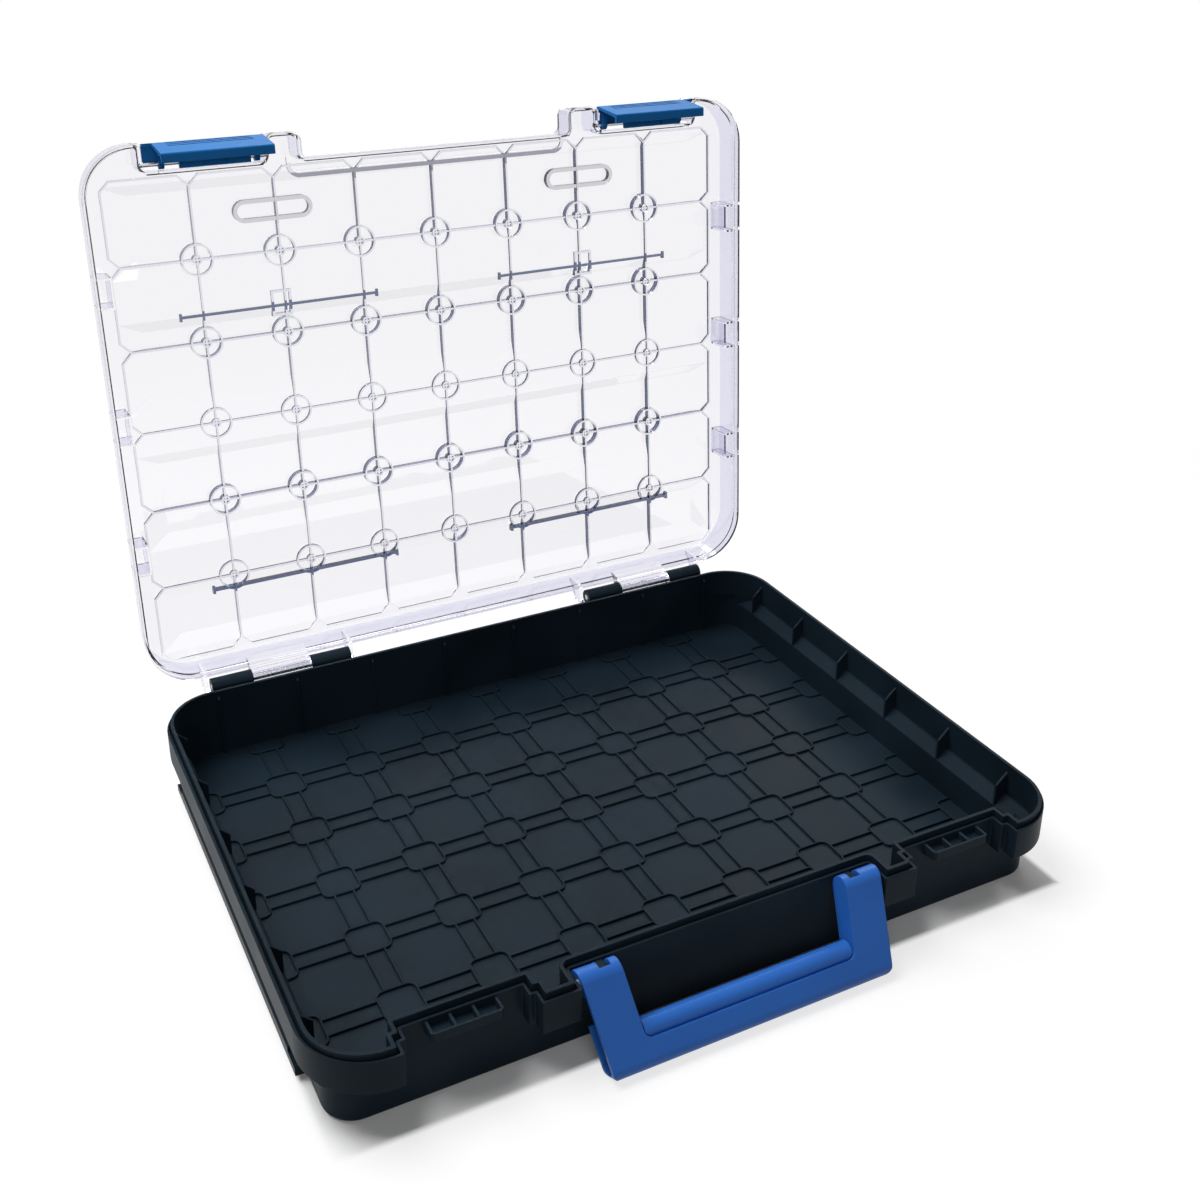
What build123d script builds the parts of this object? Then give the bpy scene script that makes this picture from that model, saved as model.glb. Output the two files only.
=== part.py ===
from build123d import *
import os

# Carrying case for small parts, standing open: a dark tray, a clear lid, two latches, a handle.
# Millimetres, +Z up, front towards -Y. The origin is on the ground under the middle of the grid.

# Insert grid that the whole case is built around
grid_module = 52.0
grid_columns = 8
grid_rows = 6
insert_height = 63.0

# Tray walls and floor
wall = 2.0
body_wall = 3.5
floor_thickness = 3.0
foot_height = 2.0
foot_width = 16.0
foot_round = 3.0
foot_rib = 6.0
insert_play = 0.5
body_back = 1.0
side_step = 7.5
end_step = 0.4
lip_height = 46.0
shelf_height = 26.5
shelf_thickness = 3.0
slope_foot = 20.0
slope_height = 8.0
slope_skin = 3.0
body_corner = 17.0
lip_corner = 32.0
small_corner = 0.8
recess_corner = 4.0
skirt_softening = 1.2

# Skirt that the lid closes on, hung outside the lip
skirt_gap = 1.3
skirt_thickness = 1.5
skirt_drop = 3.0
skirt_height = 18.5
groove_depth = 4.0
groove_floor = 2.0

# Front of the tray: corner blocks and pilasters stand out around the handle and the latches
nose_depth = 15.6
jog_depth = 7.6
jog_width = 3.4
pilaster_gap = 2.5
pilaster_width = 15.4
latch_centre = 145.3
notch_width = 74.4

# Ribs inside the tray
gusset_thickness = 1.5
gusset_rise = 14.0
gusset_run = 8.0
gusset_root = 0.5
fin_thickness = 1.2
fin_reach = 2.0
fin_top_drop = 3.0

# Catch that a latch hook closes under
catch_centre = 146.0
catch_width = 37.0
catch_depth = 9.7
catch_drop = 1.0
catch_front = 4.7
catch_slope = 1.9
catch_bevel = 1.5
cell_count = 3
cell_wall = 1.5
cell_depth = 3.9

# Slide rails low on the sides
rail_front = -124.5
rail_back = 131.0
rail_depth = 6.0
rail_height = 9.0
rail_bevel = 2.0
rail_step = 12.0
rail_round = 0.5

# Lid hinge
hinge_out = 7.3
hinge_up = 0.2
knuckle_radius = 5.5
hinge_pin_radius = 2.0
running_gap = 0.05
knuckle_inner = 90.0
knuckle_outer = 183.5
lid_knuckle_inner = 117.3
lid_knuckle_outer = 156.7
knuckle_gap = 0.3
arm_drop = 14.0
arm_heel_out = 4.5
arm_heel_drop = 3.2
plate_foot_rise = 3.0
plate_root_rise = 1.0
plate_tip_out = 3.5
plate_tip_rise = 3.8
plate_top_rise = 14.0
open_angle = 94.5
stop_ear_thickness = 2.5
stop_ear_gap = 1.2
stop_ear_reach = 12.3
stop_ear_foot = 2.0
stop_ear_slope = 1.5
stop_ear_height = 8.0
stop_ear_root = 20.0
stop_ear_rounds = [0, 1, 2, 0]

# Lid shell
lid_wall = 1.6
lid_panel = 2.0
boss_height = 5.0
pad_depth = 2.6
pad_half_width = 207.5
pad_side_slope = 14.0
pads = [(105.7, 112.5, 139.0, 150.0), (15.3, 21.5, 68.5, 78.8),
        (-69.5, -63.0, -22.0, -12.0), (-152.0, -146.0, -106.0, -96.0)]
rim_gap = 0.4
rim_band = 5.6
rim_thickness = 1.8
rim_step = 1.0
rim_clearance = 0.4
rim_sharpening = 2.1
lid_round = 3.0
lid_corner = 32.0
lid_soft_corner = 3.3
lid_block_corner = 1.5
bracket_width = 21.7
block_clearance = 2.2
relief_side = 3.0
relief_end = 1.0
relief_front = 1.5
relief_back = 2.5

# Ribs, bosses and frames on the inside of the lid
rib_thickness = 1.2
rib_drop = 0.6
boss_radius = 10.0
boss_wall = 1.2
boss_core = 3.0
boss_sink = 0.4
border_dip = 6.0
border_inset = 0.1
oval_length = 50.0
oval_width = 14.0
oval_wall = 2.5
oval_half_gap = 106.0
oval_front = 130.0
frame_height = 4.0
handle_frame_half = 95.0
handle_frame_drop = 14.0
handle_frame_corner = 8.0
bar_thickness = 1.6
bar_inner = 43.5
bar_outer = 170.0
bar_front = 69.5
bar_back = 112.5
clip_inner = 100.0
clip_outer = 113.0
clip_length = 16.5
tab_length = 19.0
tab_inset = 6.0
tab_pitch = 84.5
tab_middle = -8.5

# Latches
latch_pivot_out = 3.4
latch_pivot_up = 5.1
latch_pin_radius = 1.5
latch_eye = 3.3
latch_skin = 2.2
latch_height = 28.5
latch_top_rise = 1.0
latch_rear_out = 12.5
latch_foot_out = 8.5
latch_foot_lip = 5.6
latch_leg = 11.0
latch_end_gap = 0.5
latch_width = 65.5
latch_flare = 6.0
latch_flare_height = 2.7
latch_rounds = [0.5, 2.5, 1.2, 0.5, 0.5, 0.5, 1.0, 0.5]
lug_thickness = 3.0
lug_inset = 3.0
lug_last_inset = 4.0
lug_front_inset = 1.5
lug_drop = 3.0
hook_width = 41.5
hook_thickness = 3.3
hook_play = 0.6
hook_tip_gap = 1.1
hook_wall = 2.0
hook_dish = 1.2
hook_riser_inset = 0.9
hook_riser_drop = 3.0
hook_rounds = [0.5, 1, 0.5, 0, 0.5, 0]
groove_count = 3
groove_width = 1.2
groove_cut = 0.6
groove_pitch = 3.4
groove_start = 4.8
groove_length = 50.0

# Handle
handle_pivot_out = 7.3
handle_pivot_drop = 3.5
handle_lean = 29.4
handle_half_top = 90.0
handle_half_foot = 82.2
grip_half_top = 67.5
grip_half_foot = 62.0
handle_thickness = 13.0
handle_reach = 49.7
handle_bar = 15.1
handle_skin = 2.4
handle_back_skin = 1.8
handle_back_height = 27.0
handle_foot_corner = 5.0
handle_round_flat = 0.2
handle_hollow_top = 0.5
handle_hollow_round = 4.3
handle_window_drop = 3.2
handle_window_slope = 0.4
handle_window_edge = 0.3
handle_pin_inset = 2.0
handle_pin_cap = 1.0
handle_wall_overlap = 2.0
handle_inner_corner = 5.0
handle_pin_radius = 2.0
handle_lug_inner = 71.4
handle_lug_width = 5.7
handle_slot_gap = 0.4
handle_eye = 4.5
handle_neck = 5.0
grip_radius = 5.7
grip_rise = 9.2
grip_seam = 0.5
grip_stem = 8.4
grip_end_gap = 0.3

# Extra length of a solid that only cuts, so that it runs past what it cuts
cut_over = 1.0

# Places worked out from the sizes above
floor_top = foot_height + floor_thickness
half_inside_x = grid_module * grid_columns / 2 + insert_play
half_inside_y = grid_module * grid_rows / 2 + insert_play
lip_half_x = half_inside_x + side_step + wall
lip_half_y = half_inside_y + end_step + wall + insert_play
lip_top = floor_top + lip_height
shelf_top = floor_top + shelf_height
skirt_out = skirt_gap + skirt_thickness
skirt_top = lip_top - skirt_drop
skirt_bottom = skirt_top - skirt_height
case_half_x = lip_half_x + skirt_out
case_half_y = lip_half_y + skirt_out
body_half_x = half_inside_x + body_wall
pilaster_inner = handle_half_top + pilaster_gap
pilaster_outer = pilaster_inner + pilaster_width
notch_inner = pilaster_outer + jog_width
block_inner = pilaster_outer + notch_width
notch_outer = block_inner - jog_width
rim_bottom = skirt_top + rim_gap
boss_tip = floor_top + insert_height
panel_inside = boss_tip + boss_height
lid_top = panel_inside + lid_panel
frame_inside = panel_inside - pad_depth
frame_top = lid_top - pad_depth
hinge_y = case_half_y + hinge_out
hinge_z = skirt_top + hinge_up
latch_y = -(case_half_y + latch_pivot_out - rim_gap)
latch_z = rim_bottom + latch_pivot_up
handle_y = -(case_half_y + handle_pivot_out)
handle_z = skirt_top - handle_pivot_drop
lid_recess_y = -(lip_half_y + rim_clearance + rim_thickness)
lid_nose_y = -(case_half_y + nose_depth)
bracket_inner = pilaster_inner - rim_clearance - rim_thickness
bracket_outer = bracket_inner + bracket_width
lid_block_inner = block_inner + block_clearance
latch_pin_start = bracket_outer - rim_thickness
latch_pin_end = lid_block_inner + rim_thickness
catch_bottom = skirt_top - catch_drop - catch_front
hook_top = catch_bottom - catch_slope - hook_play


def filleted_face(corners):
    points = [(x, y) for x, y, r in corners]
    radii = [r for x, y, r in corners]
    return make_face(FilletPolyline(*points, radius=radii, close=True))


def mirrored_face(half):
    other = [(-x, y, r) for x, y, r in reversed(half)]
    return filleted_face(half + other)


def both_sides(piece):
    return [piece, mirror(piece, about=Plane.YZ)]


def slab(face, bottom, top):
    return Pos(0, 0, bottom) * extrude(face, top - bottom)


def block(x0, x1, y0, y1, z0, z1):
    size = Box(x1 - x0, y1 - y0, z1 - z0)
    return Pos((x0 + x1) / 2, (y0 + y1) / 2, (z0 + z1) / 2) * size


def side_prism(points, x0, x1, radii=None):
    # Points are pairs of y and z; the prism runs along X.
    radii = radii or [0] * len(points)
    corners = [(y, z, r) for (y, z), r in zip(points, radii)]
    face = Plane.YZ * filleted_face(corners)
    return Pos(x0, 0, 0) * extrude(face, x1 - x0)


def x_rod(radius, x0, x1, y, z):
    rod = Rot(0, 90, 0) * Cylinder(radius, x1 - x0)
    return Pos((x0 + x1) / 2, y, z) * rod


def grid_lines(count):
    return [grid_module * (i - (count - 1) / 2) for i in range(count)]


def case_outline(grow):
    recess_y = -(lip_half_y + grow)
    jog_y = recess_y - jog_depth
    nose_y = recess_y - nose_depth
    corner = lip_corner + grow + skirt_softening * max(grow, 0)
    return mirrored_face([
        (pilaster_inner - grow, recess_y, recess_corner - grow),
        (pilaster_inner - grow, nose_y, small_corner),
        (pilaster_outer + grow, nose_y, small_corner),
        (pilaster_outer + grow, jog_y, small_corner),
        (notch_inner + grow, jog_y, small_corner),
        (notch_inner + grow, recess_y, small_corner),
        (notch_outer - grow, recess_y, small_corner),
        (notch_outer - grow, jog_y, small_corner),
        (block_inner - grow, jog_y, small_corner),
        (block_inner - grow, nose_y, small_corner),
        (lip_half_x + grow, nose_y, corner),
        (lip_half_x + grow, lip_half_y + grow, corner),
    ])


def lid_outline(inset, sharpening=0.0):
    # Sharpening takes from the rounding of the brackets' outer corners.
    recess_y = lid_recess_y + inset
    nose_y = lid_nose_y + inset
    hollow = lid_soft_corner + inset
    solid = lid_soft_corner + rim_step + lid_wall - inset - sharpening
    return mirrored_face([
        (bracket_inner + inset, recess_y, hollow),
        (bracket_inner + inset, nose_y, solid),
        (bracket_outer - inset, nose_y, solid),
        (bracket_outer - inset, recess_y, hollow),
        (lid_block_inner + inset, recess_y, hollow),
        (lid_block_inner + inset, nose_y, lid_block_corner),
        (case_half_x - inset, nose_y, lid_corner - inset),
        (case_half_x - inset, case_half_y - inset, lid_corner - inset),
    ])


def tray_body():
    back_y = lip_half_y + body_back
    face = Pos(0, (back_y - case_half_y) / 2) * RectangleRounded(
        2 * body_half_x, back_y + case_half_y, body_corner)
    body = slab(face, 0, shelf_top)
    body = fillet(body.edges().group_by(Axis.Z)[0], foot_round)
    foot = offset(face, -(foot_round + foot_width))
    foot -= Rectangle(2 * body_half_x, foot_rib) + Rectangle(foot_rib, 2 * body_half_x)
    body -= slab(foot, 0, foot_height)
    body += slab(case_outline(0), shelf_top - shelf_thickness, lip_top)
    body += slab(case_outline(skirt_out), skirt_bottom, skirt_top)
    groove = case_outline(skirt_gap) - case_outline(0)
    groove_base = skirt_top - groove_depth
    body -= slab(groove, groove_base, skirt_top)
    body -= slab(groove, skirt_bottom, groove_base - groove_floor)
    return body


def side_slope():
    # Sloping shelf between the lower and the upper side wall, with the space above it.
    foot_x = half_inside_x
    foot_z = floor_top + slope_foot
    step_x = half_inside_x + side_step
    step_z = foot_z + slope_height
    under = [
        (foot_x, foot_z - wall, 0),
        (foot_x + body_wall, foot_z - wall, 0),
        (lip_half_x, step_z - slope_skin, 0),
        (lip_half_x, step_z, 0),
        (step_x, step_z, 0),
        (foot_x, foot_z, 0),
    ]
    above = [
        (foot_x - cut_over, foot_z, 0),
        (foot_x, foot_z, 0),
        (step_x, step_z, 0),
        (step_x, lip_top, 0),
        (foot_x - cut_over, lip_top, 0),
    ]
    length = 2 * half_inside_y
    fill = Pos(0, length / 2, 0) * extrude(Plane.XZ * filleted_face(under), length)
    space = Pos(0, length / 2, 0) * extrude(Plane.XZ * filleted_face(above), length)
    fill &= slab(case_outline(0), 0, lip_top)
    space &= slab(case_outline(-wall), 0, lip_top + cut_over)
    return fill, space


def side_gussets():
    foot_z = floor_top + slope_foot
    step_x = half_inside_x + gusset_run + gusset_root
    low_z = foot_z + gusset_rise
    profile = filleted_face([
        (half_inside_x, foot_z, 0),
        (step_x, foot_z + side_step, 0),
        (step_x, low_z + gusset_run, 0),
        (half_inside_x, low_z, 0),
    ])
    plate = Pos(0, gusset_thickness / 2, 0) * extrude(Plane.XZ * profile, gusset_thickness)
    return [Pos(0, y, 0) * plate for y in grid_lines(grid_rows)]


def end_fins():
    top = lip_top - fin_top_drop
    wall_y = lip_half_y - wall / 2
    reach_y = lip_half_y - wall - fin_reach
    columns = grid_lines(grid_columns)
    fins = [side_prism([(wall_y, floor_top), (wall_y, top), (reach_y, top - fin_reach),
                        (reach_y, floor_top)], x - fin_thickness / 2, x + fin_thickness / 2)
            for x in columns]
    front = [mirror(fin, about=Plane.XZ) for fin in fins[1:-1]]
    return fins + front


def catch_block():
    y_wall = -(case_half_y - skirt_thickness)
    y_front = -(case_half_y + catch_depth)
    top = skirt_top - catch_drop
    x0 = catch_centre - catch_width / 2
    x1 = catch_centre + catch_width / 2
    profile = [(y_wall, catch_bottom - catch_slope), (y_front, catch_bottom),
               (y_front, top), (y_wall, top)]
    catch = side_prism(profile, x0, x1)
    front_corners = catch.edges().filter_by(Axis.Z).group_by(Axis.Y)[0]
    catch = chamfer(front_corners, catch_bevel)
    cell = (catch_width - cell_wall) / cell_count
    for i in range(cell_count):
        left = x0 + cell_wall + i * cell
        catch -= block(left, left + cell - cell_wall, y_front + cell_wall,
                       -case_half_y, top - cell_depth, top)
    return catch


def handle_lug():
    x0 = handle_lug_inner
    x1 = x0 + handle_lug_width
    lug = x_rod(handle_eye, x0, x1, handle_y, handle_z)
    lug += block(x0, x1, handle_y, -(case_half_y - skirt_thickness),
                 handle_z - handle_neck / 2, handle_z + handle_neck / 2)
    return lug - x_rod(handle_pin_radius + running_gap, x0, x1, handle_y, handle_z)


def tray_knuckle(x0, x1):
    y_wall = case_half_y - skirt_thickness / 2
    heel = (hinge_y + arm_heel_out, hinge_z - arm_heel_drop)
    arm = side_prism([(y_wall, skirt_top - arm_drop), heel, (hinge_y, hinge_z),
                      (hinge_y, skirt_top), (y_wall, skirt_top)], x0, x1)
    knuckle = arm + x_rod(knuckle_radius, x0, x1, hinge_y, hinge_z)
    return knuckle - x_rod(hinge_pin_radius, x0, x1, hinge_y, hinge_z)


def base_tray():
    tray = tray_body()
    fill, space = side_slope()
    for piece in both_sides(fill):
        tray += piece
    well = RectangleRounded(2 * half_inside_x, 2 * (lip_half_y - wall), body_corner - wall)
    tray -= slab(well, floor_top, shelf_top)
    tray -= slab(case_outline(-wall), shelf_top, lip_top)
    for piece in both_sides(space):
        tray -= piece
    ribs = end_fins()
    for gusset in side_gussets():
        ribs += both_sides(gusset)
    fittings = both_sides(catch_block()) + both_sides(handle_lug())
    inner_end = lid_knuckle_inner - knuckle_gap
    outer_start = lid_knuckle_outer + knuckle_gap
    fittings += both_sides(tray_knuckle(knuckle_inner, inner_end))
    fittings += both_sides(tray_knuckle(outer_start, knuckle_outer))
    return tray + ribs + fittings


def slide_rail():
    x0 = body_half_x
    x1 = x0 + rail_depth
    z0 = foot_round
    z1 = z0 + rail_height
    profile = filleted_face([(x0, z0, 0), (x1, z0, rail_round),
                             (x1, z1 - rail_bevel, rail_round),
                             (x1 - rail_bevel, z1, rail_round), (x0, z1, 0)])
    length = rail_back - rail_front
    rail = Pos(0, rail_back, 0) * extrude(Plane.XZ * profile, length)
    for y in (rail_front, rail_back - rail_step):
        rail -= block(x1 - rail_bevel, x1, y, y + rail_step, z1 - rail_bevel * 2, z1)
    return rail


def border_face(inset):
    # Border rib of the lid: it dips inwards at each grid rib that meets it.
    half_x = half_inside_x - border_inset
    half_y = half_inside_y - insert_play
    columns = grid_lines(grid_columns - 1)
    rows = grid_lines(grid_rows - 1)
    dip = border_dip

    def edge_run(stops, level):
        run = []
        for stop in stops:
            run += [(stop - dip, level), (stop, level - dip), (stop + dip, level)]
        return run

    back = edge_run(columns, half_y)
    side = edge_run(rows, half_x)
    points = [(x, -y) for x, y in back]
    points += [(half_x - dip, -half_y), (half_x, -half_y + dip)]
    points += [(x, y) for y, x in side]
    points += [(half_x, half_y - dip), (half_x - dip, half_y)]
    points += [(x, y) for x, y in reversed(back)]
    points += [(-half_x + dip, half_y), (-half_x, half_y - dip)]
    points += [(-x, y) for y, x in reversed(side)]
    points += [(-half_x, -half_y + dip), (-half_x + dip, -half_y)]
    face = make_face(Polyline(*points, close=True))
    return offset(face, -inset, kind=Kind.INTERSECTION)


def lid_ribs():
    half_x = half_inside_x - border_inset - border_dip
    half_y = half_inside_y - insert_play - border_dip
    columns = grid_lines(grid_columns - 1)
    rows = grid_lines(grid_rows - 1)
    ribs = border_face(0) - border_face(rib_thickness)
    for x in columns:
        ribs += Pos(x, 0) * Rectangle(rib_thickness, 2 * half_y)
    for y in rows:
        ribs += Pos(0, y) * Rectangle(2 * half_x, rib_thickness)
    return slab(ribs, boss_tip + rib_drop, panel_inside + boss_sink)


def lid_bosses():
    ring = Circle(boss_radius) - Circle(boss_radius - boss_wall)
    core = Circle(boss_core) - Circle(boss_core - boss_wall)
    boss = slab(ring + core, boss_tip, panel_inside + boss_sink)
    return [Pos(x, y, 0) * boss
            for x in grid_lines(grid_columns - 1) for y in grid_lines(grid_rows - 1)]


def lid_frames():
    # Raised frames on the panel: an oval and two bars on each side, one frame by the handle.
    oval = SlotOverall(oval_length, oval_width)
    oval -= SlotOverall(oval_length - 2 * oval_wall, oval_width - 2 * oval_wall)
    frames = Pos(oval_half_gap, -oval_front) * oval
    frames += Pos(-oval_half_gap, -oval_front) * oval
    outer = RectangleRounded(2 * handle_frame_half, 2 * handle_frame_drop, handle_frame_corner)
    hole = RectangleRounded(2 * (handle_frame_half - oval_wall),
                            2 * (handle_frame_drop - oval_wall),
                            handle_frame_corner - oval_wall)
    frames += Pos(0, lid_recess_y) * (outer - hole)
    bar = Pos((bar_inner + bar_outer) / 2, 0) * Rectangle(bar_outer - bar_inner, bar_thickness)
    clip_width = clip_outer - clip_inner
    clip = Rectangle(clip_width, clip_length)
    clip -= Rectangle(clip_width - 2 * bar_thickness, clip_length - 2 * bar_thickness)
    clip = Pos((clip_inner + clip_outer) / 2, -bar_front - bar_thickness) * clip
    for x in (bar_inner, bar_outer):
        bar += Pos(x, 0) * Rectangle(bar_thickness, 3 * bar_thickness)
    half = Pos(0, -bar_front) * bar + Pos(0, bar_back) * bar + clip
    frames += half
    frames += mirror(half, about=Plane.YZ)
    return slab(frames, panel_inside - frame_height, panel_inside + boss_sink)


def lid_pads(lift):
    # Raised pads of the panel, with sloping sides; lift moves them up through the panel.
    made = []
    for front, inner_front, inner_back, back in pads:
        low = Rectangle(2 * pad_half_width, back - front)
        high = Rectangle(2 * (pad_half_width - pad_side_slope), inner_back - inner_front)
        low = Pos(0, (front + back) / 2, frame_inside + lift) * low
        high = Pos(0, (inner_front + inner_back) / 2, panel_inside + lift) * high
        made.append(loft([low, high]))
    return made


def lid_tab():
    # Hollow box rib that keeps the lid in line with the lip.
    x1 = case_half_x - rim_thickness
    x0 = lip_half_x - wall - tab_inset
    bottom = lip_top + rim_gap
    outer = block(x0, x1, -tab_length / 2, tab_length / 2, bottom, panel_inside + boss_sink)
    inner = block(x0 + rib_thickness, x1, rib_thickness - tab_length / 2,
                  tab_length / 2 - rib_thickness, bottom, panel_inside)
    return outer - inner


def lid_hinge():
    # Middle knuckle with its plate, and a stop ear at each end of the hinge.
    y_wall = case_half_y - rim_step - lid_wall / 2
    plate = side_prism([(y_wall, hinge_z + plate_foot_rise),
                        (hinge_y, hinge_z + plate_root_rise),
                        (hinge_y + plate_tip_out, hinge_z + plate_tip_rise),
                        (y_wall, hinge_z + plate_top_rise)],
                       lid_knuckle_inner, lid_knuckle_outer)
    hinge = plate + x_rod(knuckle_radius, lid_knuckle_inner, lid_knuckle_outer,
                          hinge_y, hinge_z)
    hinge -= x_rod(hinge_pin_radius + running_gap, lid_knuckle_inner, lid_knuckle_outer,
                   hinge_y, hinge_z)
    ear_tip = case_half_y + stop_ear_reach
    ear_foot = rim_bottom + stop_ear_foot
    ear = [(y_wall, ear_foot + stop_ear_slope), (ear_tip, ear_foot),
           (ear_tip, ear_foot + stop_ear_height), (y_wall, rim_bottom + stop_ear_root)]
    inner_end = knuckle_inner - stop_ear_gap
    outer_end = knuckle_outer + stop_ear_gap
    hinge += side_prism(ear, inner_end - stop_ear_thickness, inner_end, stop_ear_rounds)
    hinge += side_prism(ear, outer_end, outer_end + stop_ear_thickness, stop_ear_rounds)
    return hinge


def closed_lid():
    band_top = rim_bottom + rim_band
    shell = slab(lid_outline(rim_step), rim_bottom, frame_top)
    shell = fillet(shell.faces().sort_by(Axis.Z)[-1].outer_wire().edges(), lid_round)
    shell += slab(lid_outline(0), rim_bottom, band_top)
    shell += lid_pads(lid_panel)
    shell -= slab(lid_outline(rim_thickness, rim_sharpening), rim_bottom, band_top - lid_wall)
    shell -= slab(lid_outline(rim_step + lid_wall), rim_bottom, frame_inside)
    for pad in lid_pads(0):
        shell -= pad
    inside = slab(lid_outline(rim_step + lid_wall / 2), rim_bottom,
                  frame_inside + lid_panel / 2)
    inside += lid_pads(lid_panel / 2)
    ribs = [lid_ribs(), lid_frames()] + lid_bosses()
    for i in (-1, 0, 1):
        ribs += both_sides(Pos(0, tab_middle + i * tab_pitch, 0) * lid_tab())
    ribs = [rib & inside for rib in ribs]
    lid = shell + ribs + both_sides(lid_hinge())
    relief_top = lip_top + rim_gap
    back_y = relief_back - lip_half_y
    lid_reliefs = both_sides(block(notch_inner - jog_width, bracket_outer + relief_end,
                                   -(lip_half_y + jog_depth + relief_front), back_y,
                                   rim_bottom, relief_top))
    lid_reliefs += both_sides(block(notch_outer - relief_side,
                                    lid_block_inner + rim_thickness + relief_end,
                                    -(lip_half_y + nose_depth + relief_front), back_y,
                                    rim_bottom, relief_top))
    for relief in lid_reliefs:
        lid -= relief
    for bore in both_sides(x_rod(latch_pin_radius, latch_pin_start, latch_pin_end,
                                 latch_y, latch_z)):
        lid -= bore
    return lid


def opened(piece):
    axis = Axis((0, hinge_y, hinge_z), (1, 0, 0))
    return piece.rotate(axis, -open_angle)


def latch_cover(x0):
    top = latch_z + latch_top_rise
    foot = top - latch_height
    rear_y = latch_y - latch_rear_out
    foot_y = latch_y - latch_foot_out
    skin = latch_skin
    profile = [(rear_y + latch_leg, top), (rear_y, top), (foot_y, foot),
               (foot_y + latch_foot_lip, foot), (foot_y + latch_foot_lip, foot + skin),
               (foot_y + skin, foot + skin), (rear_y + skin, top - skin),
               (rear_y + latch_leg, top - skin)]
    x1 = x0 + latch_width
    cover = side_prism(profile, x0, x1 + latch_flare, latch_rounds)
    flare_z = top - latch_flare_height
    over = top + cut_over
    under = foot - cut_over
    sheet = filleted_face([(x0, over, 0), (x0, under, 0), (x1, under, 0), (x1, flare_z, 0),
                           (x1 + latch_flare, flare_z, 0), (x1 + latch_flare, over, 0)])
    depth = latch_rear_out + cut_over
    cover &= Pos(0, latch_y, 0) * extrude(Plane.XZ * sheet, depth)
    for i in range(groove_count):
        z = top - groove_start - groove_pitch * i
        y = rear_y + (foot_y - rear_y) * (top - z) / latch_height
        left = (x0 + x1) / 2 - groove_length / 2
        cover -= block(left, left + groove_length, y - cut_over, y + groove_cut,
                       z - groove_width / 2, z + groove_width / 2)
    return cover


def latch_hook():
    x0 = latch_centre - hook_width / 2
    x1 = latch_centre + hook_width / 2
    tip_y = -(case_half_y + hook_tip_gap)
    riser_y = latch_y - latch_foot_out + hook_riser_inset
    riser_top = latch_z - hook_riser_drop
    bottom = hook_top - hook_thickness
    hook = side_prism([(riser_y - hook_wall, bottom), (tip_y, bottom), (tip_y, hook_top),
                       (riser_y, hook_top), (riser_y, riser_top),
                       (riser_y - hook_wall, riser_top)], x0, x1, hook_rounds)
    third = hook_width / 3
    hook -= block(x0 + third, x1 - third, riser_y, tip_y, bottom, bottom + hook_dish)
    return hook


def latch(x0):
    body = latch_cover(x0) + latch_hook()
    first = x0 + lug_inset
    last = notch_outer - skirt_out - lug_last_inset
    top = latch_z + latch_top_rise
    for left in (first, last):
        right = left + lug_thickness
        body += x_rod(latch_eye, left, right, latch_y, latch_z)
        body += block(left, right, latch_y - latch_rear_out + lug_front_inset, latch_y,
                      latch_z - lug_drop, top)
        body -= x_rod(latch_pin_radius + running_gap, left, right, latch_y, latch_z)
    return body


def hanging(piece):
    # Turns a handle piece from straight down to where its edge rests by the ground.
    axis = Axis((0, handle_y, handle_z), (1, 0, 0))
    return piece.rotate(axis, -handle_lean)


def handle_profile(hollow):
    # Side view of the handle hanging straight down, as pairs of y and z.
    front = handle_y - handle_thickness / 2
    back = handle_y + handle_thickness / 2
    foot = handle_z - handle_reach
    radius = handle_thickness / 2
    face = Pos(handle_y, handle_z) * Circle(radius)
    round_foot = radius - handle_round_flat
    face += filleted_face([(front, handle_z, 0), (front, foot, round_foot),
                           (back, foot, round_foot), (back, handle_z, 0)])
    if hollow:
        top = handle_z - radius - handle_hollow_top
        open_z = foot + handle_back_height
        face -= filleted_face([(front + handle_skin, top, 0),
                               (front + handle_skin, foot + handle_skin, handle_hollow_round),
                               (back - handle_back_skin, foot + handle_skin,
                                handle_hollow_round),
                               (back - handle_back_skin, open_z, 0),
                               (back + cut_over, open_z, 0), (back + cut_over, top, 0)])
    return Plane.YZ * face


def handle_front(grow):
    # Front view of the handle; grow widens the finger gap into the arms.
    top = handle_z + handle_thickness
    foot = handle_z - handle_reach
    gap_foot = foot + handle_bar
    return mirrored_face([
        (grip_half_foot + grow, gap_foot - grow, handle_inner_corner),
        (grip_half_top + grow, top, 0),
        (handle_half_top, top, 0),
        (handle_half_foot, foot, handle_foot_corner),
    ][::-1])


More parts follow.
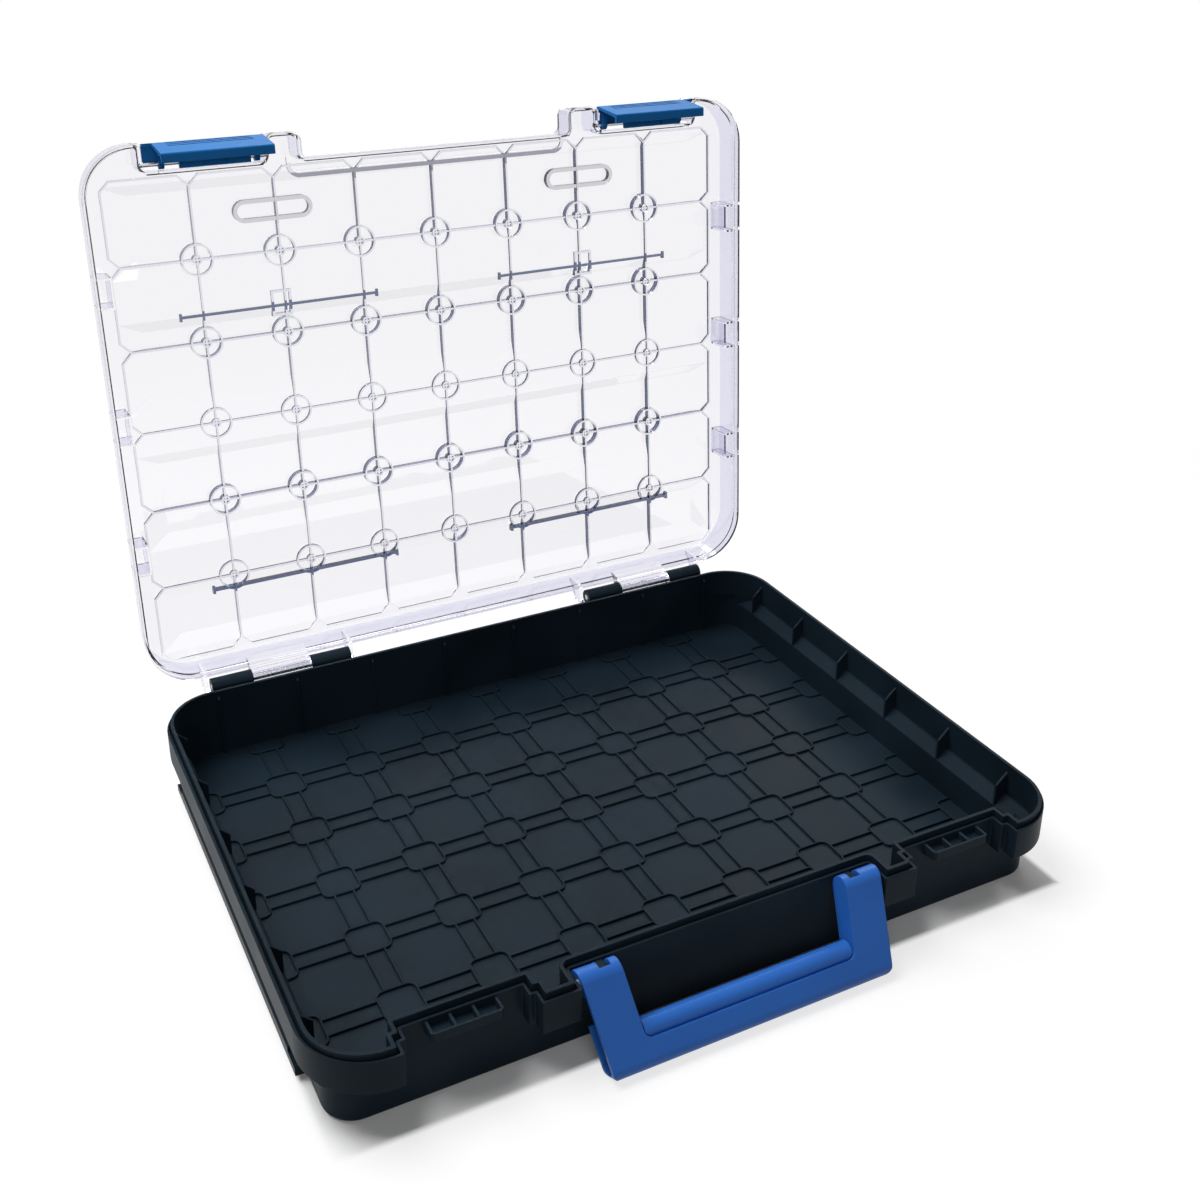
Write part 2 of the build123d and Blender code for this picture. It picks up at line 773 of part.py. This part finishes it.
def handle_shell():
    width = 2 * (handle_half_top + cut_over)
    depth = 2 * handle_thickness
    start = handle_y + handle_thickness
    front = Pos(0, start, 0) * extrude(Plane.XZ * handle_front(0), depth)
    wide = Pos(0, start, 0) * extrude(Plane.XZ * handle_front(handle_skin), depth)
    hollow = Pos(-width / 2, 0, 0) * extrude(handle_profile(True), width)
    full = Pos(-width / 2, 0, 0) * extrude(handle_profile(False), width)
    side_walls = (front - wide) & full
    foot = handle_z - handle_reach
    keep = block(-handle_half_top, handle_half_top, handle_y - depth, handle_y + depth,
                 foot + handle_bar + handle_wall_overlap, handle_z + depth)
    shell = (front & hollow) + (side_walls & keep)
    slot_x0 = handle_lug_inner - handle_slot_gap
    slot_x1 = handle_lug_inner + handle_lug_width + handle_slot_gap
    cuts = x_rod(handle_eye + handle_slot_gap, slot_x0, slot_x1, handle_y, handle_z)
    reach = handle_thickness
    window_z = handle_z - handle_window_drop
    window = filleted_face([(handle_y, window_z, 0),
                            (handle_y + reach, window_z - handle_window_slope, 0),
                            (handle_y + reach, handle_z + reach, 0),
                            (handle_y - reach, handle_z + reach, 0),
                            (handle_y - handle_window_edge, handle_z + handle_window_edge, 0)])
    cuts += Pos(slot_x0, 0, 0) * extrude(Plane.YZ * window, slot_x1 - slot_x0)
    cuts += x_rod(handle_pin_radius, grip_half_top + handle_pin_inset, handle_half_top,
                  handle_y, handle_z)
    for cut in both_sides(cuts):
        shell -= cut
    return shell


def handle_grip():
    half = grip_half_foot - grip_end_gap
    front = handle_y - handle_thickness / 2 + handle_skin
    back = handle_y + handle_thickness / 2 - handle_back_skin
    edge = handle_z - handle_reach + handle_bar
    centre = edge + grip_rise - grip_radius
    bar = x_rod(grip_radius, -half, half, handle_y, centre)
    below = edge - 2 * grip_radius
    bar -= block(-half, half, handle_y - handle_thickness, front, below, edge + grip_seam)
    bar -= block(-half, half, back, handle_y + handle_thickness, below, edge + grip_seam)
    around = Pos(0, handle_y + handle_thickness, 0) * extrude(
        Plane.XZ * handle_front(-grip_end_gap), 2 * handle_thickness)
    bar -= around & block(-handle_half_top, handle_half_top, handle_y - handle_thickness,
                          handle_y + handle_thickness, edge + grip_seam, handle_z)
    stem = half - handle_inner_corner
    bar += block(-stem, stem, front, back, edge - grip_stem, centre)
    return bar


def write(node, piece):
    export_step(piece.solid(), "parts/" + node + ".step")


def main():
    os.makedirs("parts", exist_ok=True)
    write("base_tray", base_tray())
    write("lid_shell", opened(closed_lid()))
    latch_piece = opened(latch(bracket_outer + latch_end_gap))
    latch_pin = opened(x_rod(latch_pin_radius, latch_pin_start, latch_pin_end,
                             latch_y, latch_z))
    hinge_pin = x_rod(hinge_pin_radius, knuckle_inner, knuckle_outer, hinge_y, hinge_z)
    handle_pin = x_rod(handle_pin_radius, grip_half_top + handle_pin_inset,
                       handle_half_top - handle_pin_cap, handle_y, handle_z)
    pairs = {
        "slide_rail": slide_rail(),
        "latch": latch_piece,
        "latch_pin": latch_pin,
        "hinge_pin": hinge_pin,
        "handle_pin": hanging(handle_pin),
    }
    for name, piece in pairs.items():
        right, left = both_sides(piece)
        write(name + "_right", right)
        write(name + "_left", left)
    write("handle_shell", hanging(handle_shell()))
    write("handle_grip", hanging(handle_grip()))


main()
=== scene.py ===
import bpy
import math
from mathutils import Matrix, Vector


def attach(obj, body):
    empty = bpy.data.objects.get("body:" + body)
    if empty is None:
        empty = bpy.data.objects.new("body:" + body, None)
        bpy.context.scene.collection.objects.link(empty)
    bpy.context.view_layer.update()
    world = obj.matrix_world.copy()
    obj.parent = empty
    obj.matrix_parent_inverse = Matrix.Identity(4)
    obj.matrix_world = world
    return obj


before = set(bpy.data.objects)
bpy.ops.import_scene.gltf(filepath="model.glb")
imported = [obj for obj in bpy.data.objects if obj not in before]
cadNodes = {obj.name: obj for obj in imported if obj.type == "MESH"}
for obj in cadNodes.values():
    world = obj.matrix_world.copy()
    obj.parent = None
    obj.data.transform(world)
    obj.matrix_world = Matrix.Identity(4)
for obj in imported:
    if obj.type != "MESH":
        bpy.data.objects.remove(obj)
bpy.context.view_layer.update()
print("frame loaded:", len(cadNodes), "nodes")


def deselectAll():
    if bpy.context.mode != "OBJECT":
        bpy.ops.object.mode_set(mode="OBJECT")
    bpy.ops.object.select_all(action="DESELECT")


def makeActive(piece):
    deselectAll()
    piece.select_set(True)
    bpy.context.view_layer.objects.active = piece


def applyPlace(piece):
    makeActive(piece)
    bpy.ops.object.transform_apply(location=True, rotation=True, scale=True)


def applyModifiers(piece):
    makeActive(piece)
    for modifier in list(piece.modifiers):
        bpy.ops.object.modifier_apply(modifier=modifier.name)


def joinPieces(pieces, name):
    deselectAll()
    for piece in pieces:
        piece.select_set(True)
    bpy.context.view_layer.objects.active = pieces[0]
    bpy.ops.object.join()
    joined = bpy.context.view_layer.objects.active
    joined.name = name
    joined.data.name = name
    return joined


def copyTo(piece, x, y, turned=0.0):
    copy = piece.copy()
    copy.data = piece.data.copy()
    copy.location = (x, y, 0.0)
    copy.rotation_euler = (0.0, 0.0, turned)
    bpy.context.scene.collection.objects.link(copy)
    return copy


def setMaterial(piece, material):
    piece.data.materials.clear()
    piece.data.materials.append(material)


def newMaterial(name):
    material = bpy.data.materials.new(name)
    material.use_nodes = True
    nodes = material.node_tree.nodes
    return material, nodes, material.node_tree.links, nodes["Principled BSDF"]


def newGroup(name, inputs, outputs):
    group = bpy.data.node_groups.new(name, "ShaderNodeTree")
    for socketName, socketType, value in inputs:
        socket = group.interface.new_socket(socketName, in_out="INPUT", socket_type=socketType)
        socket.default_value = value
    for socketName, socketType in outputs:
        group.interface.new_socket(socketName, in_out="OUTPUT", socket_type=socketType)
    return group, group.nodes.new("NodeGroupInput"), group.nodes.new("NodeGroupOutput")


def addGroup(nodes, group, **values):
    node = nodes.new("ShaderNodeGroup")
    node.node_tree = group
    for key, value in values.items():
        node.inputs[key].default_value = value
    return node


def fillSockets(links, node, values):
    # A number or colour is set on its socket, and another node's output is linked to it.
    for key, value in values:
        if isinstance(value, (float, tuple)):
            node.inputs[key].default_value = value
        else:
            links.new(value, node.inputs[key])


def mathNode(nodes, links, operation, *values):
    node = nodes.new("ShaderNodeMath")
    node.operation = operation
    fillSockets(links, node, enumerate(values))
    return node.outputs[0]


def vectorNode(nodes, links, operation, *values):
    node = nodes.new("ShaderNodeVectorMath")
    node.operation = operation
    fillSockets(links, node, enumerate(values))
    return node


def mapRange(nodes, links, source, fromSpan, toSpan=(0.0, 1.0)):
    node = nodes.new("ShaderNodeMapRange")
    fillSockets(links, node, (("Value", source), ("From Min", fromSpan[0]),
                              ("From Max", fromSpan[1]), ("To Min", toSpan[0]),
                              ("To Max", toSpan[1])))
    return node.outputs["Result"]


def mixColours(nodes, links, factor, first, second):
    mix = nodes.new("ShaderNodeMix")
    mix.data_type = "RGBA"
    fillSockets(links, mix, (("Factor", factor), ("A", first), ("B", second)))
    return mix.outputs["Result"]


def mixShaders(nodes, links, factor, first, second, surface):
    mix = nodes.new("ShaderNodeMixShader")
    links.new(factor, mix.inputs["Fac"])
    links.new(first, mix.inputs[1])
    links.new(second, mix.inputs[2])
    links.new(mix.outputs["Shader"], surface)


mouldLook = dict(grainDetail=3.0, waveDetail=1.5, noiseSpan=(0.3, 0.7), edgeSamples=4, ior=1.5)


def makeMouldGrain():
    group, given, out = newGroup(
        "mouldGrain",
        [("Grain Size", "NodeSocketFloat", 900.0), ("Wave Size", "NodeSocketFloat", 14.0),
         ("Wave Share", "NodeSocketFloat", 0.3)],
        [("Height", "NodeSocketFloat"), ("Cloud", "NodeSocketFloat")])
    nodes, links = group.nodes, group.links
    place = nodes.new("ShaderNodeTexCoord")
    noises = []
    for size, detail in (("Grain Size", mouldLook["grainDetail"]),
                         ("Wave Size", mouldLook["waveDetail"])):
        noise = nodes.new("ShaderNodeTexNoise")
        fillSockets(links, noise, (("Vector", place.outputs["Object"]),
                                   ("Scale", given.outputs[size]), ("Detail", detail)))
        noises.append(noise.outputs["Fac"])
    grain, wave = noises
    mix = nodes.new("ShaderNodeMix")
    fillSockets(links, mix, (("Factor", given.outputs["Wave Share"]), ("A", grain), ("B", wave)))
    links.new(mix.outputs["Result"], out.inputs["Height"])
    links.new(wave, out.inputs["Cloud"])
    return group


mouldGrain = makeMouldGrain()


def addMouldGrain(nodes, look):
    return addGroup(nodes, mouldGrain, **{"Grain Size": look["grainSize"],
                                          "Wave Size": look["waveSize"],
                                          "Wave Share": look["waveShare"]})


def mouldedPlastic(name, look):
    material, nodes, links, shader = newMaterial(name)
    grain = addMouldGrain(nodes, look)
    cloud = grain.outputs["Cloud"]
    share = mapRange(nodes, links, cloud, mouldLook["noiseSpan"])
    colour = mixColours(nodes, links, share, look["dark"], look["light"])
    roughness = mapRange(nodes, links, cloud, mouldLook["noiseSpan"], look["roughness"])
    bevel = nodes.new("ShaderNodeBevel")
    bevel.samples = mouldLook["edgeSamples"]
    bevel.inputs["Radius"].default_value = look["softEdge"]
    bump = nodes.new("ShaderNodeBump")
    fillSockets(links, bump, (("Strength", look["bump"]), ("Distance", look["bumpDepth"]),
                              ("Height", grain.outputs["Height"]),
                              ("Normal", bevel.outputs["Normal"])))
    fillSockets(links, shader, (("Base Color", colour), ("Roughness", roughness),
                                ("Normal", bump.outputs["Normal"]), ("IOR", mouldLook["ior"]),
                                ("Specular IOR Level", look["shine"])))
    return material


trayLook = dict(dark=(0.006, 0.012, 0.018, 1.0), light=(0.010, 0.019, 0.028, 1.0),
                roughness=(0.36, 0.46), grainSize=1500.0, waveSize=16.0, waveShare=0.25,
                bump=0.25, bumpDepth=0.0002, softEdge=0.0005, shine=0.05)
railLook = dict(trayLook, roughness=(0.3, 0.4), grainSize=2200.0, bump=0.15)
latchLook = dict(dark=(0.010, 0.118, 0.34, 1.0), light=(0.013, 0.134, 0.38, 1.0),
                 roughness=(0.34, 0.42), grainSize=1800.0, waveSize=20.0, waveShare=0.2,
                 bump=0.18, bumpDepth=0.00015, softEdge=0.0006, shine=0.03)
handleLook = dict(dark=(0.017, 0.108, 0.42, 1.0), light=(0.021, 0.124, 0.47, 1.0),
                  roughness=(0.34, 0.42), grainSize=1500.0, waveSize=18.0, waveShare=0.2,
                  bump=0.28, bumpDepth=0.0002, softEdge=0.0008, shine=0.22)
gripLook = dict(handleLook, roughness=(0.28, 0.36), bump=0.2)

trayPlastic = mouldedPlastic("trayPlastic", trayLook)
railPlastic = mouldedPlastic("railPlastic", railLook)
latchPlastic = mouldedPlastic("latchPlastic", latchLook)
handlePlastic = mouldedPlastic("handlePlastic", handleLook)
gripPlastic = mouldedPlastic("gripPlastic", gripLook)


# Frames: centre height, half height, the reach in x on each side, and the share of painted shade
# on the tips.
# The rib, row and rim side colours are painted shade on faces that turn away from the panel, and
# the tip share is painted shade on the rib tips.
clearLook = dict(panel=(0.895, 0.885, 0.915, 1.0), ribSideShade=(0.07, 0.09, 0.17, 1.0),
                 rowSideShade=(0.28, 0.30, 0.44, 1.0), rimSideShade=(0.72, 0.72, 0.84, 1.0),
                 frameSideShade=(0.018, 0.026, 0.07, 1.0), shadowTint=(0.93, 0.93, 0.95, 1.0),
                 roughness=0.02, ior=1.49, lean=(0.0, 0.9969, -0.0785),
                 hinge=(0.0, 0.1695, 0.0482), tipDepth=0.0216, tipShadeShare=0.5,
                 sideSpan=(0.85, 0.25), ribReachX=0.2088, ribBottom=0.068, ribTop=0.372,
                 frames=((0.2846, 0.0030, 0.042, 0.172, 1.0),
                         (0.1032, 0.0030, 0.042, 0.172, 1.0),
                         (0.3450, 0.0085, 0.080, 0.132, 0.55),
                         (0.3625, 0.0035, 0.0, 0.096, 0.9)))


def makeSideShadeMask():
    # Side: how far a face turns from the lid's panel. Column: how far it turns left or right.
    # Tip: one on the tips of the ribs, which lie nearer to the hinge line than the panel.
    # These masks tell the lid's material where to paint shade: on faces turned from the panel
    # and on the rib tips.
    group, given, out = newGroup(
        "sideShadeMask",
        [("Lean", "NodeSocketVector", (0.0, 1.0, 0.0)),
         ("Hinge", "NodeSocketVector", (0.0, 0.0, 0.0)), ("Tip Depth", "NodeSocketFloat", 0.02)],
        [("Side", "NodeSocketFloat"), ("Column", "NodeSocketFloat"), ("Tip", "NodeSocketFloat")])
    nodes, links = group.nodes, group.links
    place = nodes.new("ShaderNodeTexCoord")
    facing = vectorNode(nodes, links, "DOT_PRODUCT", place.outputs["Normal"],
                        given.outputs["Lean"])
    facing = mathNode(nodes, links, "ABSOLUTE", facing.outputs["Value"])
    split = nodes.new("ShaderNodeSeparateXYZ")
    links.new(place.outputs["Normal"], split.inputs[0])
    offset = vectorNode(nodes, links, "SUBTRACT", place.outputs["Object"],
                        given.outputs["Hinge"])
    depth = vectorNode(nodes, links, "DOT_PRODUCT", offset.outputs["Vector"],
                       given.outputs["Lean"])
    links.new(mapRange(nodes, links, facing, clearLook["sideSpan"]), out.inputs["Side"])
    links.new(mathNode(nodes, links, "ABSOLUTE", split.outputs["X"]), out.inputs["Column"])
    links.new(mathNode(nodes, links, "LESS_THAN", depth.outputs["Value"],
                       given.outputs["Tip Depth"]), out.inputs["Tip"])
    return group


def lidPlace(nodes, links):
    # How far a point of the lid lies from its middle, and how high.
    place = nodes.new("ShaderNodeTexCoord")
    split = nodes.new("ShaderNodeSeparateXYZ")
    links.new(place.outputs["Object"], split.inputs[0])
    return mathNode(nodes, links, "ABSOLUTE", split.outputs["X"]), split.outputs["Z"]


def allOf(nodes, links, first, second, third):
    both = mathNode(nodes, links, "MULTIPLY", first, second)
    return mathNode(nodes, links, "MULTIPLY", both, third)


def makeInnerMask():
    # One where the lid carries its ribs, nought at the rim around them.
    group, given, out = newGroup(
        "innerMask",
        [("Reach X", "NodeSocketFloat", 0.2), ("Bottom", "NodeSocketFloat", 0.0),
         ("Top", "NodeSocketFloat", 0.4)],
        [("Inner", "NodeSocketFloat")])
    nodes, links = group.nodes, group.links
    across, height = lidPlace(nodes, links)
    inner = allOf(nodes, links,
                  mathNode(nodes, links, "LESS_THAN", across, given.outputs["Reach X"]),
                  mathNode(nodes, links, "GREATER_THAN", height, given.outputs["Bottom"]),
                  mathNode(nodes, links, "LESS_THAN", height, given.outputs["Top"]))
    links.new(inner, out.inputs["Inner"])
    return group


def makeBandMask():
    # One in a level band of the lid, on both sides of its middle.
    group, given, out = newGroup(
        "bandMask",
        [("Centre", "NodeSocketFloat", 0.2), ("Half Height", "NodeSocketFloat", 0.003),
         ("From X", "NodeSocketFloat", 0.0), ("To X", "NodeSocketFloat", 0.2)],
        [("Band", "NodeSocketFloat")])
    nodes, links = group.nodes, group.links
    across, height = lidPlace(nodes, links)
    band = allOf(nodes, links,
                 mathNode(nodes, links, "COMPARE", height, given.outputs["Centre"],
                          given.outputs["Half Height"]),
                 mathNode(nodes, links, "GREATER_THAN", across, given.outputs["From X"]),
                 mathNode(nodes, links, "LESS_THAN", across, given.outputs["To X"]))
    links.new(band, out.inputs["Band"])
    return group


def makeClearPlastic(look):
    material, nodes, links, shader = newMaterial("clearPlastic")
    sides = addGroup(nodes, makeSideShadeMask(), **{"Lean": look["lean"], "Hinge": look["hinge"],
                                               "Tip Depth": look["tipDepth"]})
    inner = addGroup(nodes, makeInnerMask(), **{"Reach X": look["ribReachX"],
                                                "Bottom": look["ribBottom"],
                                                "Top": look["ribTop"]})
    # Painted shade: faces turned from the panel take darker colours, darkest on the upright
    # ribs, and the rib tips are darkened too.
    ribs = mixColours(nodes, links, sides.outputs["Column"], look["rowSideShade"], look["ribSideShade"])
    sideShadeColour = mixColours(nodes, links, inner.outputs["Inner"], look["rimSideShade"], ribs)
    bandMask = makeBandMask()
    frameTipShade = 0.0
    # Painted shade on the frames: in each band the side faces take the dark frame colour, and
    # the tips are darkened by the band's share.
    for centre, halfHeight, fromX, toX, share in look["frames"]:
        band = addGroup(nodes, bandMask, **{"Centre": centre, "Half Height": halfHeight,
                                            "From X": fromX, "To X": toX})
        sideShadeColour = mixColours(nodes, links, band.outputs["Band"], sideShadeColour,
                                look["frameSideShade"])
        bandTipShade = mathNode(nodes, links, "MULTIPLY", band.outputs["Band"], share)
        frameTipShade = mathNode(nodes, links, "MAXIMUM", frameTipShade, bandTipShade)
    frameTipShade = mathNode(nodes, links, "MULTIPLY", frameTipShade, sides.outputs["Tip"])
    ribTipShade = mathNode(nodes, links, "MULTIPLY", sides.outputs["Tip"], inner.outputs["Inner"])
    # dark: how much painted shade each point of the lid takes.
    dark = mathNode(nodes, links, "MULTIPLY", ribTipShade, look["tipShadeShare"])
    dark = mathNode(nodes, links, "MAXIMUM", dark, frameTipShade)
    dark = mathNode(nodes, links, "MAXIMUM", dark, sides.outputs["Side"])
    colour = mixColours(nodes, links, dark, look["panel"], sideShadeColour)
    fillSockets(links, shader, (("Base Color", colour), ("Roughness", look["roughness"]),
                                ("IOR", look["ior"]), ("Transmission Weight", 1.0)))
    # Light for shadows and diffuse bounces passes straight through.
    path = nodes.new("ShaderNodeLightPath")
    passes = mathNode(nodes, links, "MAXIMUM", path.outputs["Is Shadow Ray"],
                      path.outputs["Is Diffuse Ray"])
    through = nodes.new("ShaderNodeBsdfTransparent")
    through.inputs["Color"].default_value = look["shadowTint"]
    mixShaders(nodes, links, passes, shader.outputs["BSDF"], through.outputs["BSDF"],
               nodes["Material Output"].inputs["Surface"])
    return material


clearPlastic = makeClearPlastic(clearLook)


pinLook = dict(colour=(0.56, 0.57, 0.58, 1.0), roughness=(0.22, 0.36), grainSize=700.0,
               waveSize=120.0, waveShare=0.5)


def makePinSteel(look):
    material, nodes, links, shader = newMaterial("pinSteel")
    grain = addMouldGrain(nodes, look)
    roughness = mapRange(nodes, links, grain.outputs["Height"], mouldLook["noiseSpan"],
                         look["roughness"])
    fillSockets(links, shader, (("Base Color", look["colour"]), ("Metallic", 1.0),
                                ("Roughness", roughness)))
    return material


pinSteel = makePinSteel(pinLook)

finishes = {
    "base_tray": trayPlastic, "slide_rail_left": railPlastic, "slide_rail_right": railPlastic,
    "lid_shell": clearPlastic, "latch_left": latchPlastic, "latch_right": latchPlastic,
    "handle_shell": handlePlastic, "handle_grip": gripPlastic,
}
for nodeName, cadPiece in cadNodes.items():
    setMaterial(cadPiece, finishes.get(nodeName, pinSteel))
print("finishes set")


floorPattern = dict(module=0.052, columns=7, rows=5, frameHalf=0.0115, frameCorner=0.005,
                    cornerSteps=4, ridge=0.0012, height=0.0015, softEdge=0.00025,
                    lineHalf=0.0055, barOverlap=0.0004, floorTop=0.005, wallX=0.2084,
                    wallY=0.1568, intoWall=0.0001, sink=0.0003)


def makeRidgeFrame(pattern):
    bpy.ops.mesh.primitive_plane_add(size=2 * pattern["frameHalf"])
    ring = bpy.context.object
    bpy.ops.object.mode_set(mode="EDIT")
    bpy.ops.mesh.select_all(action="SELECT")
    bpy.ops.mesh.bevel(offset=pattern["frameCorner"], offset_type="OFFSET",
                       segments=pattern["cornerSteps"], affect="VERTICES")
    bpy.ops.mesh.select_all(action="SELECT")
    bpy.ops.mesh.inset(thickness=pattern["ridge"])
    bpy.ops.mesh.delete(type="FACE")
    bpy.ops.mesh.select_all(action="SELECT")
    bpy.ops.mesh.normals_make_consistent(inside=False)
    bpy.ops.object.mode_set(mode="OBJECT")
    return ring


def finishRidge(piece, pattern):
    solid = piece.modifiers.new("Solidify", "SOLIDIFY")
    solid.thickness = pattern["height"] + pattern["sink"]
    solid.offset = 0.0
    soft = piece.modifiers.new("Bevel", "BEVEL")
    soft.width = pattern["softEdge"]
    soft.segments = 1
    soft.limit_method = "ANGLE"
    applyModifiers(piece)


def makeRidgeBar(length, pattern):
    bpy.ops.mesh.primitive_plane_add(size=1.0)
    bar = bpy.context.object
    bpy.ops.object.mode_set(mode="EDIT")
    bpy.ops.mesh.select_all(action="SELECT")
    bpy.ops.transform.resize(value=(pattern["ridge"], length, 1.0))
    bpy.ops.object.mode_set(mode="OBJECT")
    finishRidge(bar, pattern)
    return bar


def cutFrame(ring, x, y, pattern):
    # Keeps the half of a frame that lies inwards of a wall at x or y.
    half = copyTo(ring, 0.0, 0.0)
    makeActive(half)
    outwards = (1.0 if x else 0.0, 1.0 if y else 0.0, 0.0)
    bpy.ops.object.mode_set(mode="EDIT")
    bpy.ops.mesh.select_all(action="SELECT")
    bpy.ops.mesh.bisect(plane_co=(x, y, 0.0), plane_no=outwards, clear_outer=True)
    bpy.ops.object.mode_set(mode="OBJECT")
    finishRidge(half, pattern)
    return half


def makeFloorRidges(pattern):
    module, sink = pattern["module"], pattern["sink"]
    xs = [module * (i - (pattern["columns"] - 1) / 2) for i in range(pattern["columns"])]
    ys = [module * (i - (pattern["rows"] - 1) / 2) for i in range(pattern["rows"])]
    endX, endY = xs[-1] + module, ys[-1] + module
    ring = makeRidgeFrame(pattern)
    sideHalf = cutFrame(ring, pattern["wallX"] - endX + pattern["intoWall"], 0.0, pattern)
    backHalf = cutFrame(ring, 0.0, pattern["wallY"] - endY + pattern["intoWall"], pattern)
    finishRidge(ring, pattern)
    bar = makeRidgeBar(module - 2 * pattern["frameHalf"] + pattern["barOverlap"], pattern)
    lines = (-pattern["lineHalf"], pattern["lineHalf"])
    made = []
    for x in xs:
        for y in ys:
            made.append(copyTo(ring, x, y))
        made.append(copyTo(backHalf, x, endY))
        made.append(copyTo(backHalf, x, -endY, math.pi))
        for j in range(len(ys) + 1):
            y = -endY + module * (j + 0.5)
            for line in lines:
                made.append(copyTo(bar, x + line, y))
    for y in ys:
        made.append(copyTo(sideHalf, endX, y))
        made.append(copyTo(sideHalf, -endX, y, math.pi))
        for i in range(len(xs) + 1):
            x = -endX + module * (i + 0.5)
            for line in lines:
                made.append(copyTo(bar, x, y + line, math.pi / 2))
    for source in (ring, sideHalf, backHalf, bar):
        bpy.data.objects.remove(source)
    ridges = joinPieces(made, "floor_ridges")
    applyPlace(ridges)
    ridges.location = (0.0, 0.0, pattern["floorTop"] + pattern["height"] / 2 - sink / 2)
    applyPlace(ridges)
    setMaterial(ridges, trayPlastic)
    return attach(ridges, "base")


makeFloorRidges(floorPattern)
print("floor ridges made")


studio = dict(floorSize=40.0, floorColour=(0.32, 0.32, 0.32, 1.0),
              floorSeen=(0.93, 0.93, 0.93, 1.0), floorRoughness=0.9, floorShine=0.1,
              floorWhite=0.72, whiteSpan=(0.35, 1.1), underX=0.215, underY=0.176,
              underFade=0.004, worldColour=(1.0, 1.0, 1.0, 1.0), worldLevel=0.10)


def rayIsSeen(nodes, links):
    # One for rays from the camera, and for those that metal or glass sends on.
    path = nodes.new("ShaderNodeLightPath")
    seen = mathNode(nodes, links, "MAXIMUM", path.outputs["Is Camera Ray"],
                    path.outputs["Is Transmission Ray"])
    return mathNode(nodes, links, "MAXIMUM", seen, path.outputs["Is Glossy Ray"])


def beyondCase(nodes, links, place):
    # Nought under the case, where the floor keeps its own dark shadow, and one around it.
    split = nodes.new("ShaderNodeSeparateXYZ")
    links.new(place, split.inputs[0])
    sides = []
    for axis, limit in (("X", studio["underX"]), ("Y", studio["underY"])):
        reach = mathNode(nodes, links, "ABSOLUTE", split.outputs[axis])
        sides.append(mapRange(nodes, links, reach, (limit, limit + studio["underFade"])))
    return mathNode(nodes, links, "MAXIMUM", *sides)


def makeFloor():
    bpy.ops.mesh.primitive_plane_add(size=studio["floorSize"])
    floor = bpy.context.object
    floor.name = "studio_floor"
    material, nodes, links, shader = newMaterial("studioFloor")
    seen = rayIsSeen(nodes, links)
    colour = mixColours(nodes, links, seen, studio["floorColour"], studio["floorSeen"])
    fillSockets(links, shader, (("Base Color", colour), ("Roughness", studio["floorRoughness"]),
                                ("Specular IOR Level", studio["floorShine"])))
    place = nodes.new("ShaderNodeTexCoord").outputs["Object"]
    away = vectorNode(nodes, links, "LENGTH", place).outputs["Value"]
    fade = mapRange(nodes, links, away, studio["whiteSpan"], (studio["floorWhite"], 1.0))
    white = allOf(nodes, links, fade, seen, beyondCase(nodes, links, place))
    glow = nodes.new("ShaderNodeEmission")
    mixShaders(nodes, links, white, shader.outputs["BSDF"], glow.outputs["Emission"],
               nodes["Material Output"].inputs["Surface"])
    setMaterial(floor, material)


def makeWorld():
    world = bpy.data.worlds.new("studioWorld")
    bpy.context.scene.world = world
    world.use_nodes = True
    nodes, links = world.node_tree.nodes, world.node_tree.links
    lit, seen = nodes["Background"], nodes.new("ShaderNodeBackground")
    for background, strength in ((lit, studio["worldLevel"]), (seen, 1.0)):
        background.inputs["Color"].default_value = studio["worldColour"]
        background.inputs["Strength"].default_value = strength
    mixShaders(nodes, links, rayIsSeen(nodes, links), lit.outputs["Background"],
               seen.outputs["Background"], nodes["World Output"].inputs["Surface"])


lamps = (
    dict(name="keyLamp", place=(-0.7, 0.5, 2.0), aim=(0.0, 0.0, 0.05), size=(1.3, 1.3),
         power=52.0),
    dict(name="fillLamp", place=(-0.6, -1.8, 1.1), aim=(0.0, 0.0, 0.1), size=(1.6, 1.0),
         power=10.0),
    dict(name="backLamp", place=(0.9, 1.6, 1.6), aim=(0.0, 0.1, 0.1), size=(1.6, 1.0),
         power=18.0),
)


def addLamp(look):
    data = bpy.data.lights.new(look["name"], "AREA")
    data.shape = "RECTANGLE"
    data.size, data.size_y = look["size"]
    data.energy = look["power"]
    lamp = bpy.data.objects.new(look["name"], data)
    lamp.location = look["place"]
    towards = Vector(look["aim"]) - Vector(look["place"])
    lamp.rotation_euler = towards.to_track_quat("-Z", "Y").to_euler()
    bpy.context.scene.collection.objects.link(lamp)


# The camera was solved from the floor's grid, the tray's lips and the lid's edges.
photoCamera = dict(place=(-0.3335, -0.6522, 0.5468), turn=(67.401, 0.079, -26.287),
                   lens=43.11, sensor=36.0, shift=(0.0303, -0.1226))


def addCamera(look):
    data = bpy.data.cameras.new("photoCamera")
    data.sensor_width = look["sensor"]
    data.lens = look["lens"]
    data.shift_x, data.shift_y = look["shift"]
    camera = bpy.data.objects.new("photoCamera", data)
    camera.location = look["place"]
    camera.rotation_euler = [math.radians(angle) for angle in look["turn"]]
    bpy.context.scene.collection.objects.link(camera)
    bpy.context.scene.camera = camera


makeFloor()
makeWorld()
for lampLook in lamps:
    addLamp(lampLook)
addCamera(photoCamera)
bpy.context.scene.view_settings.view_transform = "Standard"
print("studio made")
